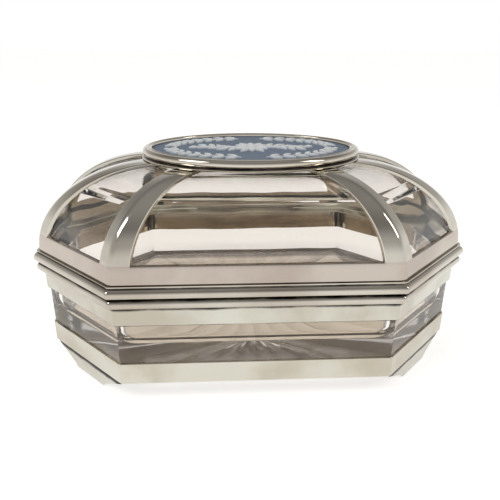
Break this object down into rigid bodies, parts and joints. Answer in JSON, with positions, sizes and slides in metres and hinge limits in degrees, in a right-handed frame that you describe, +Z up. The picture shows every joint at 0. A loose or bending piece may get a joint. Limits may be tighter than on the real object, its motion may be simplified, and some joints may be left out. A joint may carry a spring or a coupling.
{
  "type": "glass casket box",
  "caption": "Octagonal casket box of thick clear glass in silver mounts, on bracket feet, with a hinged ribbed glass dome lid and an oval relief plaque on top.",
  "frame": {"origin": "centre of the plan, on the surface that the four feet stand on", "axes": "+X along the long side to the right, +Y to the back where the hinge is, +Z up"},
  "size_m": [0.24, 0.15, 0.1195],
  "materials": {
    "clear_glass": "polished, thick and clear",
    "silver": "polished silver plate, slightly warm, with fine scratches",
    "blue_biscuit": "matt unglazed slate blue",
    "white_biscuit": "matt unglazed white"
  },
  "bodies": {
    "body": {"bowl_glass": "clear_glass", "base_band": "silver", "foot_front_left": "silver", "foot_front_right": "silver", "foot_back_right": "silver", "foot_back_left": "silver", "collar": "silver", "body_rim": "silver", "hinge_leaf_body": "silver", "hinge_pin": "silver"},
    "lid": {"lid_rim": "silver", "hinge_leaf_lid": "silver", "frieze": "silver", "dome_glass": "clear_glass", "dome_keeper": "silver", "rib_front_left": "silver", "rib_front_right": "silver", "rib_right_front": "silver", "rib_right_back": "silver", "rib_back_right": "silver", "rib_back_left": "silver", "rib_left_back": "silver", "rib_left_front": "silver", "medallion_seat": "silver", "medallion_frame": "silver", "medallion_backplate": "silver", "plaque": "blue_biscuit", "plaque_relief": "white_biscuit"}
  },
  "joints": [
    {"name": "lid_hinge", "type": "hinge", "parent": "body", "child": "lid", "pos_m": [0, 0.0731, 0.06135], "axis": [-1, 0, 0], "range_deg": [0, 95]}
  ]
}
